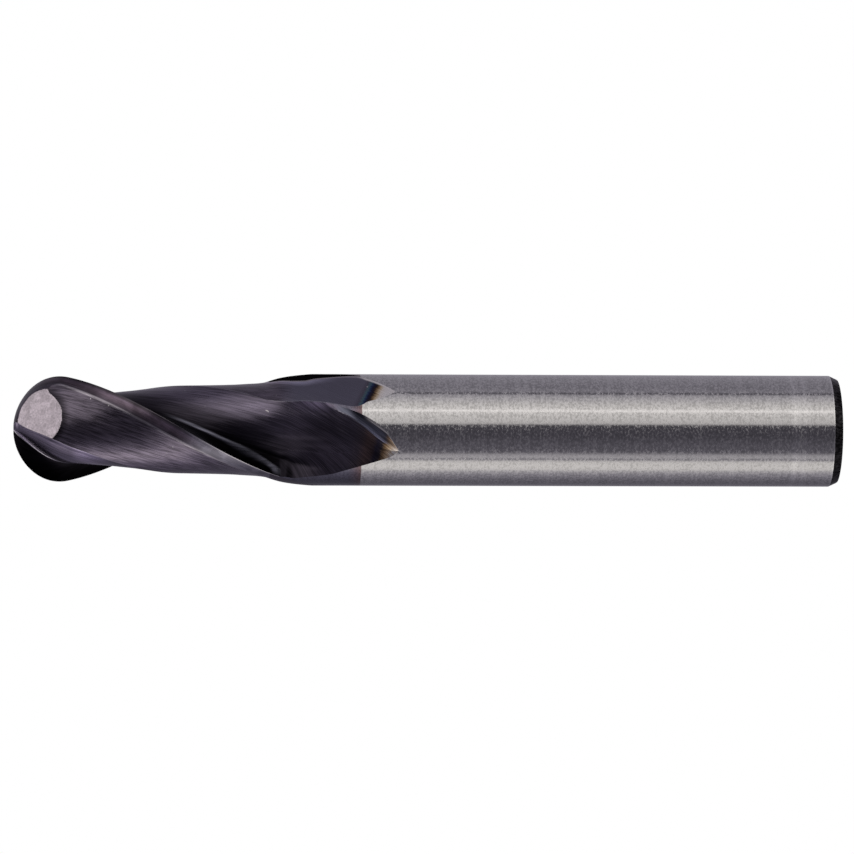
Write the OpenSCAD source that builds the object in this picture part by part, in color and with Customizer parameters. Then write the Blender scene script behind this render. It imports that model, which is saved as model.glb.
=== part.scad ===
// Two-flute ball-nose end mill, ground from one round carbide blank.
// The tool lies along X. The tip points towards -X and the origin is the
// centre of the shank's rear end face. "station" is the distance from the tip.
// "trail" is the angle behind a tooth's own cutting edge, against the cut.

/* [Blank] */
// Diameter of the ball, the flutes and the shank
blank_d = 10; // [8:1:16]
// Overall length, tip to rear end face
overall_l = 74; // [66:1:100]
// Axial length of the chamfer on the rear end
chamfer_l = 0.75; // [0.3:0.05:1.2]
// Radial depth of the chamfer on the rear end
chamfer_depth = 0.35; // [0.2:0.05:0.6]

/* [Flutes] */
// Length of the flutes at full depth, from the tip
flute_l = 22.5; // [18:0.5:26]
// Helix angle of the cutting edges
helix_angle = 30; // [24:1:36]
// Radius of the web at the flute floor, as a share of the blank radius
web_share = 0.61; // [0.58:0.01:0.66]
// Radius of the heel corner, as a share of the blank radius
heel_share = 0.787; // [0.75:0.005:0.82]

/* [Cutting edges] */
// Width of the narrow land behind each cutting edge
land_w = 1.3; // [1:0.1:1.6]
// Relief angle of that land
relief_angle = 13; // [9:0.5:15]

/* [Ball nose] */
// Slope of the flat facet behind each ball edge, from the tool axis
facet_slope = 35; // [33:1:40]
// Distance from the axis to the facet at the tip, as a share of the blank radius
facet_share = 0.19; // [0.16:0.01:0.24]

/* [Hidden] */

radius = blank_d / 2;
lead = PI * blank_d / tan(helix_angle);
turn_rate = 360 / lead;
tip_phase = -10;
land_angle = land_w / radius * 180 / PI;
half_turn = 180;

// Stations of the regions, from the tip
ball_end = 1.1 * radius;
runout_l = 12.3;
neck_end = flute_l + runout_l;

// The inner web cylinder lies just inside the flute floor
core_r = radius * (web_share - 0.05);
web_steps = 8;
core_gap = 1 / cos(90 / web_steps);

// Rings along each region
ball_rings = 27;
flute_rings = 30;
neck_rings = 40;
first_ring = 0.004 * radius;

// Relief behind the land: trail angle, radius as a share of the blank's
relief_outline = [
    [0, 1.02], [land_angle, 0.937], [22, 0.897], [30, 0.862], [38, 0.838],
    [44, 0.828], [55, 0.809], [70, 0.796], [88, heel_share]
];
heel_angle = 88;
crease_angle = 38;
edge_margin = 0.4;

// Flute outline across its width: share of the width, share of its depth
flute_across = [
    [0, 0], [0.05, 0.12], [0.1, 0.23], [0.16, 0.35], [0.25, 0.5], [0.35, 0.66],
    [0.45, 0.78], [0.55, 0.89], [0.65, 0.96], [0.75, 1]
];
// Rake wall: share of the width on a full flute, share where the flute runs
// out, share of the height from floor to edge
rake_wall = [
    [0.75, 0.75, 0], [0.84, 0.84, 0.012], [0.89, 0.89, 0.04], [0.92, 0.92, 0.1],
    [0.945, 0.94, 0.21], [0.965, 0.955, 0.36], [0.983, 0.97, 0.55], [0.995, 0.985, 0.76],
    [1, 1, 1]
];
// Groove left by the wheel where it climbs out: share of width, share of depth
runout_across = [
    [0, 0], [0.05, 0.28], [0.1, 0.45], [0.16, 0.56], [0.25, 0.72], [0.35, 0.86],
    [0.45, 0.95], [0.55, 1], [0.65, 0.98], [0.75, 0.88], [0.85, 0.66],
    [0.92, 0.4], [0.955, 0.23], [0.98, 0.11], [1, 0]
];

// Run-outs against the distance past the full flutes: boundaries in trail angle
crease_path = [
    [0, crease_angle], [0.8, 46], [2, 48], [3.3, 45], [5.1, 30], [6.5, 17],
    [7.8, 6], [8.4, 3], [8.9, 5.5], [9.6, 6.7], [10.4, 8.6], [11, 10.2], [11.5, 11.5]
];
leaf_path = [
    [0, heel_angle], [0.8, 87.2], [1.8, 83.8], [3.3, 76], [5.5, 65.5], [6.9, 59.5],
    [7.8, 54.7], [8.5, 48], [8.9, 42.3], [9.7, 34], [10.6, 24], [11.5, 12]
];
flute_top_path = [
    [0, heel_angle + edge_margin], [0.8, 87.7], [1.8, 84.3], [3.3, 76.6], [5.2, 67.6],
    [6.6, 62.8], [7.5, 60.5], [8.6, 58.8], [9.3, 59.2], [10, 60.6],
    [10.6, 62.6], [11.1, 67], [11.4, 70.9], [11.7, 74.6]
];
flute_low_path = [
    [0, half_turn - edge_margin], [1.2, 179.4], [1.8, 176.4], [2.4, 174.8],
    [3.2, 168], [4.1, 160], [5, 152.2], [5.9, 143.6], [6.7, 134.5], [7.5, 125.3],
    [8.4, 115.4], [9.3, 105.6], [10.2, 95.8], [11.1, 85.6], [11.7, 76]
];
// Where the land ends behind the edge, by station: it is wider on the ball
land_path = [
    [0, 60], [0.5, 57], [0.75, 40], [1.2, 32], [1.7, 28], [2.3, 26.5], [3, 24],
    [3.5, 17], [4.2, 14.4], [5.1, land_angle]
];
// Slope of the land as a share of the relief angle's, by station
land_slope = [
    [0, 1.45], [0.5, 1.38], [0.72, 1.17], [1.17, 1], [1.71, 0.78], [2.25, 0.74],
    [2.97, 0.68], [3.8, 0.8], [5, 1]
];
// How far the heel moves round from its usual angle, by station
heel_shift = [
    [0, -24], [0.44, -16], [0.62, -9.4], [1.1, 0], [1.5, 2.9], [1.95, 4.2], [2.4, 4.2],
    [2.85, 3.6], [3.3, 2.6], [3.65, 1.6], [4.2, 1.1], [5.2, 1], [6.5, 0]
];
// The end of the facet is eased into the flute over this share of its width
ease_share = 0.08;
ease_rate = 0.13;
// Share of the land's relief and of the heel's that has run out
land_fade = [[0, 0], [0.7, 0.25], [1.3, 0.45], [2, 0.6], [2.8, 0.73], [3.5, 0.85], [4.2, 1]];
heel_fade = [[0, 0], [0.7, 0.2], [1.6, 0.4], [2.5, 0.58], [3.3, 0.77], [5.5, 1]];
groove_rise = 0.038;
groove_end = 11.8;
leaf_crown = 0.25;

function mix(a, b, t) = a + (b - a) * t;
function smooth(t) = let (c = min(1, max(0, t))) c * c * (3 - 2 * c);
function edge_angle(station) = tip_phase + turn_rate * station;
function ball_r(station) =
    station >= radius ? radius : sqrt(radius * radius - pow(radius - station, 2));
function web_r(station) =
    radius * web_share * sin(90 * min(1, station / ball_end));
function past_flute(station) = max(0, station - flute_l);
function inner_r(station) = station >= ball_end
    ? core_r
    : core_r * sin(90 * station / ball_end);

// Flat facet ground behind each ball edge, as a radius at one trail angle
function facet_r(station, trail) =
    let (away = cos(turn_rate * station + trail - heel_angle))
    (radius * facet_share + station * tan(facet_slope)) / max(0.2, away);

// The land, then the steeper relief behind it
function land_share(station, trail) =
    1 - tan(relief_angle) * lookup(station, land_slope) * trail * PI / 180;
function body_r(station, trail) =
    let (end = lookup(station, land_path))
    let (lift = land_share(station, end) - lookup(end, relief_outline))
    let (fade = 1 - (trail - end) / max(4, crease_angle - end))
    ball_r(station) * (trail <= end
        ? land_share(station, trail)
        : lookup(trail, relief_outline) + lift * pow(min(1, max(0, fade)), 2));
function ground_r(station, trail) = min(body_r(station, trail), facet_r(station, trail));
function heel_at(station) = heel_angle + lookup(station, heel_shift);

// How far the flute dips below the heel, to round over the corner of the facet
function heel_ease(station) =
    let (gap = body_r(station, heel_at(station)) - facet_r(station, heel_at(station)))
    let (width = ease_rate * min(station, ball_end))
    (sqrt(gap * gap + width * width) - abs(gap)) / 2;

// Relief A: from the edge to the crease; it runs out first
function relief_a_r(station, trail) =
    mix(ground_r(station, trail), ball_r(station), lookup(past_flute(station), land_fade));
function heel_r(station) =
    let (fade = lookup(past_flute(station), heel_fade))
    mix(ground_r(station, heel_at(station)), ball_r(station), fade);

// Relief B: from the crease to the heel; it ends in a flat leaf on the blank
function chord_r(r1, r2, t, span) =
    r1 * r2 * sin(span) / (r1 * sin(span * t) + r2 * sin(span * (1 - t)));
function relief_b_r(station, t) =
    let (past = past_flute(station))
    let (a = lookup(past, crease_path))
    let (b = lookup(past, leaf_path))
    let (r1 = relief_a_r(station, a))
    let (r2 = heel_r(station))
    let (plain = ground_r(station, mix(crease_angle, heel_at(station), t)))
    let (p1 = ground_r(station, crease_angle))
    let (p2 = ground_r(station, heel_angle))
    let (carried = plain + mix(r1 - p1, r2 - p2, t))
    let (flat = mix(chord_r(r1, r2, t, b - a), mix(r1, r2, t), leaf_crown))
    past <= 0 ? plain : mix(carried, flat, smooth(past / 5));

// Flute: floor and rake wall, which rise into a shallow groove as they run out
function flute_r(station, share) =
    let (heel = heel_r(station) - heel_ease(station) * smooth(share / ease_share))
    let (floor_r = web_r(station))
    share < 0.75
        ? mix(heel, floor_r, lookup(share, flute_across))
        : floor_r;
function rake_r(station, height) = mix(web_r(station), ball_r(station), height);
function climbed_r(station, share, full_r, groove) =
    let (past = past_flute(station))
    let (w = smooth(past / 6))
    let (depth = radius * groove_rise * max(0, groove_end - past))
    let (lip = (radius - heel_r(station)) * pow(max(0, 1 - share), 6))
    past <= 0
        ? full_r
        : radius - (1 - w) * (radius - full_r) - w * (groove * depth + lip);

// One tooth's outline at a station, as trail angle and radius: up its own rake
// wall, over land, relief and heel, and down to the floor of the next flute
function rake_points(station) =
    let (past = past_flute(station))
    let (a = lookup(past, flute_top_path) + lookup(station, heel_shift) - half_turn)
    let (b = lookup(past, flute_low_path) - half_turn)
    [for (p = rake_wall)
        let (share = mix(p[0], p[1], smooth(past / 2)))
        let (groove = lookup(p[1], runout_across))
        [mix(a, b, share), climbed_r(station, p[1], rake_r(station, p[2]), groove)]];
function margin_points(station) =
    let (a = lookup(past_flute(station), flute_low_path) - half_turn)
    [for (t = [0.33, 0.67]) [mix(a, 0, t), ball_r(station)]];
function relief_a_points(station) =
    let (past = past_flute(station))
    let (b = lookup(past, crease_path))
    let (a = min(lookup(station, land_path), 0.6 * b))
    concat(
        [for (t = [0, 0.35, 0.7]) [a * t, relief_a_r(station, a * t)]],
        [for (i = [0:4]) let (q = mix(a, b, i / 5)) [q, relief_a_r(station, q)]]
    );
function relief_b_points(station) =
    let (past = past_flute(station))
    let (a = lookup(past, crease_path))
    let (b = lookup(past, leaf_path) + lookup(station, heel_shift))
    [for (i = [0:8]) [mix(a, b, i / 8), relief_b_r(station, i / 8)]];
function flute_points(station) =
    let (past = past_flute(station))
    let (a = lookup(past, flute_top_path) + lookup(station, heel_shift))
    let (b = lookup(past, flute_low_path))
    [for (p = flute_across) let (groove = lookup(p[0], runout_across))
        [mix(a, b, p[0]), climbed_r(station, p[0], flute_r(station, p[0]), groove)]];
function tooth_outline(station) = concat(
    rake_points(station), margin_points(station), relief_a_points(station),
    relief_b_points(station), flute_points(station)
);

// Polar point on the tool at a station, with angles from +Z towards -Y
function place(station, angle, r) =
    [station - overall_l, -r * sin(angle), r * cos(angle)];

// A tooth's section closes on the web: its outline, then an arc back on the web
function tooth_ring(station, turn) =
    let (start = edge_angle(station) + turn)
    let (outline = tooth_outline(station))
    let (web = inner_r(station) * core_gap)
    concat(
        [for (p = outline) place(station, start + p[0], p[1])],
        [for (i = [web_steps:-1:0])
            place(station, start + outline[0][0] + half_turn * i / web_steps, web)]
    );
// The whole section: both teeth, with each one's last point left to the next
function whole_ring(station) =
    let (start = edge_angle(station))
    let (outline = tooth_outline(station))
    [for (turn = [0, half_turn], j = [0:len(outline) - 2])
        place(station, start + turn + outline[j][0], outline[j][1])];
function web_ring(station) =
    let (start = edge_angle(station) + tooth_outline(station)[0][0])
    [for (i = [0:2 * web_steps - 1])
        place(station, start + half_turn * i / web_steps, inner_r(station) * core_gap)];

// The web point that each outline point is joined to on an end face
function web_step(outline, j) =
    let (reach = max([for (i = [0:j]) outline[i][0]]) - outline[0][0])
    min(web_steps, ceil(reach / half_turn * web_steps) + 1);
// Triangles of an end face, between outline points and web points
function strip_faces(outline, first, first_web, way, outer_count, web_count) =
    let (steps = [for (j = [0:len(outline) - 1]) web_step(outline, j)])
    let (outer = [for (j = [0:len(outline) - 1]) (first + j) % outer_count])
    let (web = [for (k = [0:web_steps]) outer_count + (first_web + way * k) % web_count])
    concat(
        [for (j = [0:len(outline) - 2]) [outer[j], outer[j + 1], web[steps[j]]]],
        [for (j = [0:len(outline) - 1]) let (low = j == 0 ? 0 : steps[j - 1])
            if (steps[j] > low) each [for (k = [low:steps[j] - 1]) [outer[j], web[k + 1], web[k]]]]
    );
function flipped(faces) = [for (f = faces) [f[0], f[2], f[1]]];
function shifted(faces, by) = [for (f = faces) [for (v = f) v + by]];
// Side faces of a skin over equal rings, in order from the tip
function side_faces(rings, sides) = [
    for (i = [0:rings - 2], j = [0:sides - 1]) let (k = (j + 1) % sides)
        each [
            [i * sides + j, (i + 1) * sides + j, i * sides + k],
            [i * sides + k, (i + 1) * sides + j, (i + 1) * sides + k]
        ]
];
function stations(low, high, count) = [for (i = [0:count]) mix(low, high, i / count)];
// Rings crowd towards the tip, where the ball curves away fastest
function ball_stations() =
    [for (i = [0:ball_rings]) mix(first_ring, ball_end, pow(i / ball_rings, 1.6))];

module tooth(where, turn) {
    rings = [for (s = where) tooth_ring(s, turn)];
    sides = len(rings[0]);
    outer = sides - web_steps - 1;
    last = len(where) - 1;
    start_cap = strip_faces(tooth_outline(where[0]), 0, web_steps, -1, outer, sides);
    end_cap = strip_faces(tooth_outline(where[last]), 0, web_steps, -1, outer, sides);
    polyhedron(
        points = [for (ring = rings, p = ring) p],
        faces = concat(
            start_cap,
            side_faces(len(rings), sides),
            shifted(flipped(end_cap), last * sides)
        ),
        convexity = 10
    );
}

module along_x(station) {
    translate([station - overall_l, 0, 0])
        rotate([0, 90, 0])
            children();
}

module shank() {
    color([0.62, 0.62, 0.62])
        along_x(neck_end)
            rotate_extrude($fn = 96)
                polygon([
                    [0, 0],
                    [radius, 0],
                    [radius, overall_l - neck_end - chamfer_l],
                    [radius - chamfer_depth, overall_l - neck_end],
                    [0, overall_l - neck_end]
                ]);
}

module runout_neck() {
    where = stations(flute_l, neck_end, neck_rings);
    rings = [for (s = where) whole_ring(s)];
    sides = len(rings[0]);
    points = concat([for (ring = rings, p = ring) p], web_ring(flute_l));
    web_first = len(rings) * sides;
    outline = tooth_outline(flute_l);
    near_cap = [for (turn = [0, 1])
        each strip_faces(outline, turn * sides / 2, turn * web_steps, 1, sides, 2 * web_steps)];
    color([0.3, 0.28, 0.33])
        polyhedron(
            points = points,
            faces = concat(
                [for (f = near_cap) [for (v = f) v < sides ? v : v - sides + web_first]],
                [[for (k = [0:2 * web_steps - 1]) web_first + k]],
                side_faces(len(rings), sides),
                [[for (j = [sides - 1:-1:0]) neck_rings * sides + j]]
            ),
            convexity = 10
        );
}

module flute_web() {
    color([0.36, 0.34, 0.38])
        along_x(ball_end)
            cylinder(h = flute_l - ball_end, r = core_r, $fn = 96);
}

module flute_tooth_a() {
    color([0.34, 0.31, 0.36])
        tooth(stations(ball_end, flute_l, flute_rings), 0);
}

module flute_tooth_b() {
    color([0.34, 0.31, 0.36])
        tooth(stations(ball_end, flute_l, flute_rings), half_turn);
}

module ball_web() {
    color([0.36, 0.34, 0.38])
        along_x(0)
            rotate_extrude($fn = 96)
                polygon(concat(
                    [[0, first_ring]],
                    [for (s = ball_stations()) [inner_r(s), s]],
                    [[0, ball_end]]
                ));
}

module ball_tooth_a() {
    color([0.4, 0.37, 0.42])
        tooth(ball_stations(), 0);
}

module ball_tooth_b() {
    color([0.4, 0.37, 0.42])
        tooth(ball_stations(), half_turn);
}

shank();
runout_neck();
flute_web();
flute_tooth_a();
flute_tooth_b();
ball_web();
ball_tooth_a();
ball_tooth_b();
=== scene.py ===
"""Two-flute ball-nose end mill: the looks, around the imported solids.

The tool lies along X with its tip towards -X. Lengths in the shape functions are
millimetres; "station" is the distance from the tip, "trail" the angle behind a
tooth's own cutting edge. Meshes are scaled to metres when they are made.
"""

import math

import bpy
import numpy as np
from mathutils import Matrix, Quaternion, Vector


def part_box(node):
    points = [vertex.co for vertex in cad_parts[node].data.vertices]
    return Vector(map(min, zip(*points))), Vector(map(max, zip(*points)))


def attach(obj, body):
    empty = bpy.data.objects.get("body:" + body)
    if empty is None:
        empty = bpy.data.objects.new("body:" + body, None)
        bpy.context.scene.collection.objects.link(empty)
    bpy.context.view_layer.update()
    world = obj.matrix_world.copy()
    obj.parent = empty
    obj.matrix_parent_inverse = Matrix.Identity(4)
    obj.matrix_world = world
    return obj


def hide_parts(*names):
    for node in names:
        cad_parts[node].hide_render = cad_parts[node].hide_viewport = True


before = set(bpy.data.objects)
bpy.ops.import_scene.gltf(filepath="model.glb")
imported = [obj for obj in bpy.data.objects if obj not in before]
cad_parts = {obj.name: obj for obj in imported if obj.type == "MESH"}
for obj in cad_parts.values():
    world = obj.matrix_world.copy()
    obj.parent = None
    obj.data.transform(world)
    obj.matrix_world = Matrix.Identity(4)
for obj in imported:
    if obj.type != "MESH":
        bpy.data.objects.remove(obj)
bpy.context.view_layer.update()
MM = 0.001


def node_span(name):
    """Where a node starts and ends along X, in millimetres."""
    low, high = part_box(name)
    return low[0] / MM, high[0] / MM


# ---------------------------------------------------------------- dimensions

SHANK_START, SHANK_END = node_span("shank")
FLUTE_START, FLUTE_STOP = node_span("flute_web")
LENGTH = SHANK_END - node_span("ball_web")[0] + 0.02
RADIUS = (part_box("shank")[1][2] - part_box("shank")[0][2]) / 2 / MM
TIP_X = SHANK_END - LENGTH
BALL_END = FLUTE_START - TIP_X
FLUTE_L = FLUTE_STOP - TIP_X
NECK_END = SHANK_START - TIP_X

HELIX = math.radians(30)
LEAD = 2 * math.pi * RADIUS / math.tan(HELIX)
TURN_RATE = 360 / LEAD
TIP_PHASE = -10
FIRST_RING = 0.02
CHAMFER_L, CHAMFER_DEPTH = 0.75, 0.35

WEB_SHARE, HEEL_SHARE = 0.61, 0.787
LAND_W, RELIEF_ANGLE = 1.3, math.radians(13)
LAND_ANGLE = math.degrees(LAND_W / RADIUS)
FACET_SLOPE, FACET_SHARE = math.radians(35), 0.19
HEEL_ANGLE, CREASE_ANGLE, EDGE_MARGIN = 88, 38, 0.4
WEB_STEPS = 8
CORE_R = RADIUS * (WEB_SHARE - 0.05)

# The same outlines as the design's: share of the blank radius, or shares across
RELIEF_OUTLINE = [
    (0, 1.02), (LAND_ANGLE, 0.937), (22, 0.897), (30, 0.862), (38, 0.838),
    (44, 0.828), (55, 0.809), (70, 0.796), (88, HEEL_SHARE),
]
FLUTE_ACROSS = [
    (0, 0), (0.05, 0.12), (0.1, 0.23), (0.16, 0.35), (0.25, 0.5), (0.35, 0.66),
    (0.45, 0.78), (0.55, 0.89), (0.65, 0.96), (0.75, 1),
]
RAKE_WALL = [
    (0.75, 0.75, 0), (0.84, 0.84, 0.012), (0.89, 0.89, 0.04), (0.92, 0.92, 0.1),
    (0.945, 0.94, 0.21), (0.965, 0.955, 0.36), (0.983, 0.97, 0.55), (0.995, 0.985, 0.76),
    (1, 1, 1),
]
RUNOUT_ACROSS = [
    (0, 0), (0.05, 0.28), (0.1, 0.45), (0.16, 0.56), (0.25, 0.72), (0.35, 0.86),
    (0.45, 0.95), (0.55, 1), (0.65, 0.98), (0.75, 0.88), (0.85, 0.66),
    (0.92, 0.4), (0.955, 0.23), (0.98, 0.11), (1, 0),
]
# Boundaries of the run-outs: distance past the full flutes, trail angle
CREASE_PATH = [
    (0, CREASE_ANGLE), (0.8, 46), (2, 48), (3.3, 45), (5.1, 30), (6.5, 17),
    (7.8, 6), (8.4, 3), (8.9, 5.5), (9.6, 6.7), (10.4, 8.6), (11, 10.2), (11.5, 11.5),
]
LEAF_PATH = [
    (0, HEEL_ANGLE), (0.8, 87.2), (1.8, 83.8), (3.3, 76), (5.5, 65.5), (6.9, 59.5),
    (7.8, 54.7), (8.5, 48), (8.9, 42.3), (9.7, 34), (10.6, 24), (11.5, 12),
]
FLUTE_TOP_PATH = [
    (0, HEEL_ANGLE + EDGE_MARGIN), (0.8, 87.7), (1.8, 84.3), (3.3, 76.6), (5.2, 67.6),
    (6.6, 62.8), (7.5, 60.5), (8.6, 58.8), (9.3, 59.2), (10, 60.6),
    (10.6, 62.6), (11.1, 67), (11.4, 70.9), (11.7, 74.6),
]
FLUTE_LOW_PATH = [
    (0, 180 - EDGE_MARGIN), (1.2, 179.4), (1.8, 176.4), (2.4, 174.8),
    (3.2, 168), (4.1, 160), (5, 152.2), (5.9, 143.6), (6.7, 134.5), (7.5, 125.3),
    (8.4, 115.4), (9.3, 105.6), (10.2, 95.8), (11.1, 85.6), (11.7, 76),
]
# Where the land ends behind the edge: it is wider on the ball, up to the facet
LAND_PATH = [
    (0, 60), (0.5, 57), (0.75, 40), (1.2, 32), (1.7, 28), (2.3, 26.5), (3, 24),
    (3.5, 17), (4.2, 14.4), (5.1, LAND_ANGLE),
]
# Slope of the land as a share of the relief angle's, by station
LAND_SLOPE = [
    (0, 1.45), (0.5, 1.38), (0.72, 1.17), (1.17, 1), (1.71, 0.78), (2.25, 0.74),
    (2.97, 0.68), (3.8, 0.8), (5, 1),
]
# How far the heel moves round from its usual angle, by station
HEEL_SHIFT = [
    (0, -24), (0.44, -16), (0.62, -9.4), (1.1, 0), (1.5, 2.9), (1.95, 4.2), (2.4, 4.2),
    (2.85, 3.6), (3.3, 2.6), (3.65, 1.6), (4.2, 1.1), (5.2, 1), (6.5, 0),
]
# The end of the facet is eased into the flute over this share of its width
EASE_SHARE, EASE_RATE = 0.08, 0.13
LAND_FADE = [(0, 0), (0.7, 0.25), (1.3, 0.45), (2, 0.6), (2.8, 0.73), (3.5, 0.85), (4.2, 1)]
HEEL_FADE = [(0, 0), (0.7, 0.2), (1.6, 0.4), (2.5, 0.58), (3.3, 0.77), (5.5, 1)]
GROOVE_RISE, GROOVE_END, LEAF_CROWN = 0.038, 11.8, 0.25
LEAF_END = 11.5
# The side wall's depth as a share of the groove's, and how far past the flutes it starts
WALL_DEPTH, WALL_START = 0.62, 5
# The flute floor's share of the flute's width; the rake wall takes the rest
FLOOR_SHARE = 0.75
# Mesh steps along the flutes and run-outs, and sides round the shank
FLUTE_STEP, RUNOUT_STEP, SHANK_SIDES = 0.11, 0.08, 360
# Station, share of the run-out's width that its side wall takes
WALL_PATH = [
    (27.6, 0.01), (28.6, 0.035), (29.75, 0.08), (31.2, 0.222), (32.9, 0.425), (34.3, 0.5),
]


# ---------------------------------------------------------------- shape maths

def curve(x, points):
    """A smooth curve through points that never overshoots them (monotone cubic)."""
    px = np.array([p[0] for p in points], float)
    py = np.array([p[1] for p in points], float)
    x = np.clip(x, px[0], px[-1])
    step, rise = np.diff(px), np.diff(py)
    slope = rise / step
    tangent = np.zeros(len(px))
    same = slope[:-1] * slope[1:] > 0
    harmonic = 2 * slope[:-1] * slope[1:] / np.where(same, slope[:-1] + slope[1:], 1)
    tangent[1:-1] = np.where(same, harmonic, 0)
    tangent[0], tangent[-1] = slope[0], slope[-1]
    i = np.clip(np.searchsorted(px, x, side="right") - 1, 0, len(step) - 1)
    t = (x - px[i]) / step[i]
    return (
        py[i] * (1 + 2 * t) * (1 - t) ** 2
        + tangent[i] * step[i] * t * (1 - t) ** 2
        + py[i + 1] * t * t * (3 - 2 * t)
        + tangent[i + 1] * step[i] * t * t * (t - 1)
    )


def at_one(x, points):
    """The curve's value at a single place."""
    return curve(np.full(1, float(x)), points)[0]


def mix(a, b, t):
    return a + (b - a) * t


def smooth(t):
    t = np.clip(t, 0, 1)
    return t * t * (3 - 2 * t)


def ball_r(station):
    inside = np.maximum(0, RADIUS**2 - (RADIUS - station) ** 2)
    return np.where(station >= RADIUS, RADIUS, np.sqrt(inside))


def web_r(station):
    return RADIUS * WEB_SHARE * np.sin(np.radians(90 * np.minimum(1, station / BALL_END)))


def inner_r(station):
    return CORE_R * np.sin(np.radians(90 * np.minimum(1, station / BALL_END)))


def past_flute(station):
    return np.maximum(0, station - FLUTE_L)


def facet_r(station, trail):
    """The flat facet ground behind each ball edge, as a radius."""
    away = np.cos(np.radians(TURN_RATE * station + trail - HEEL_ANGLE))
    return (RADIUS * FACET_SHARE + station * math.tan(FACET_SLOPE)) / np.maximum(0.2, away)


def land_share(station, trail):
    slope = math.tan(RELIEF_ANGLE) * curve(station, LAND_SLOPE)
    return 1 - slope * np.radians(trail)


def body_r(station, trail):
    """The land, then the steeper relief behind it."""
    end = curve(station, LAND_PATH)
    lift = land_share(station, end) - curve(end, RELIEF_OUTLINE)
    fade = np.clip(1 - (trail - end) / np.maximum(4, CREASE_ANGLE - end), 0, 1) ** 2
    behind = curve(trail, RELIEF_OUTLINE) + lift * fade
    return ball_r(station) * np.where(trail <= end, land_share(station, trail), behind)


def heel_at(station):
    return HEEL_ANGLE + curve(station, HEEL_SHIFT)


def ground_r(station, trail):
    return np.minimum(body_r(station, trail), facet_r(station, trail))


def heel_ease(station):
    """How far the flute dips below the heel, to round over the corner of the facet."""
    heel = heel_at(station)
    gap = body_r(station, heel) - facet_r(station, heel)
    width = EASE_RATE * np.minimum(station, BALL_END)
    return (np.sqrt(gap**2 + width**2) - np.abs(gap)) / 2


def relief_a_r(station, trail):
    faded = curve(past_flute(station), LAND_FADE)
    return mix(ground_r(station, trail), ball_r(station), faded)


def heel_r(station):
    faded = curve(past_flute(station), HEEL_FADE)
    return mix(ground_r(station, heel_at(station)), ball_r(station), faded)


def chord_r(r1, r2, t, span):
    span = np.radians(span)
    return r1 * r2 * np.sin(span) / (r1 * np.sin(span * t) + r2 * np.sin(span * (1 - t)))


def relief_b_r(station, t):
    """Relief from the crease to the heel, which ends in a flat leaf on the blank."""
    past = past_flute(station)
    a, b = curve(past, CREASE_PATH), curve(past, LEAF_PATH)
    heel = heel_at(station)
    r1, r2 = relief_a_r(station, a), heel_r(station)
    plain = ground_r(station, mix(CREASE_ANGLE, heel, t))
    p1 = ground_r(station, np.full_like(station, CREASE_ANGLE))
    p2 = ground_r(station, heel)
    carried = plain + mix(r1 - p1, r2 - p2, t)
    flat = mix(chord_r(r1, r2, t, b - a), mix(r1, r2, t), LEAF_CROWN)
    return np.where(past <= 0, plain, mix(carried, flat, smooth(past / 5)))


def wall_share(station):
    """How far across a run-out the wheel's side wall reaches, from its upper edge."""
    return curve(station, WALL_PATH)


def groove_depth(station, share):
    """The run-out groove across its width: a side wall, a crease, and the floor."""
    corner = wall_share(station)
    wall = WALL_DEPTH * share / np.maximum(0.001, corner)
    across = np.clip((share - corner) / 0.3, 0, 1)
    floor = WALL_DEPTH + (1 - WALL_DEPTH) * np.sin(0.5 * math.pi * across)
    creased = np.where(share < corner, wall, floor)
    plain = curve(share, RUNOUT_ACROSS)
    creased = np.where(share > 0.55, np.minimum(creased, plain), creased)
    return mix(plain, creased, smooth((past_flute(station) - WALL_START) / 2))


def climbed_r(station, share, full_r):
    """A flute's radius as the wheel climbs out and leaves a shallow groove."""
    past = past_flute(station)
    w = smooth(past / 6)
    depth = RADIUS * GROOVE_RISE * np.maximum(0, GROOVE_END - past)
    lip = (RADIUS - heel_r(station)) * np.maximum(0, 1 - share) ** 6
    groove = groove_depth(station, share)
    out = RADIUS - (1 - w) * (RADIUS - full_r) - w * (groove * depth + lip)
    return np.where(past <= 0, full_r, out)


# Stretches of a tooth's outline, in order, and how many points each has
STRETCHES = [("rake", 48), ("margin", 40), ("land", 26), ("relief_a", 40),
             ("relief_b", 64), ("strip", 20), ("flute", 60)]


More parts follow.
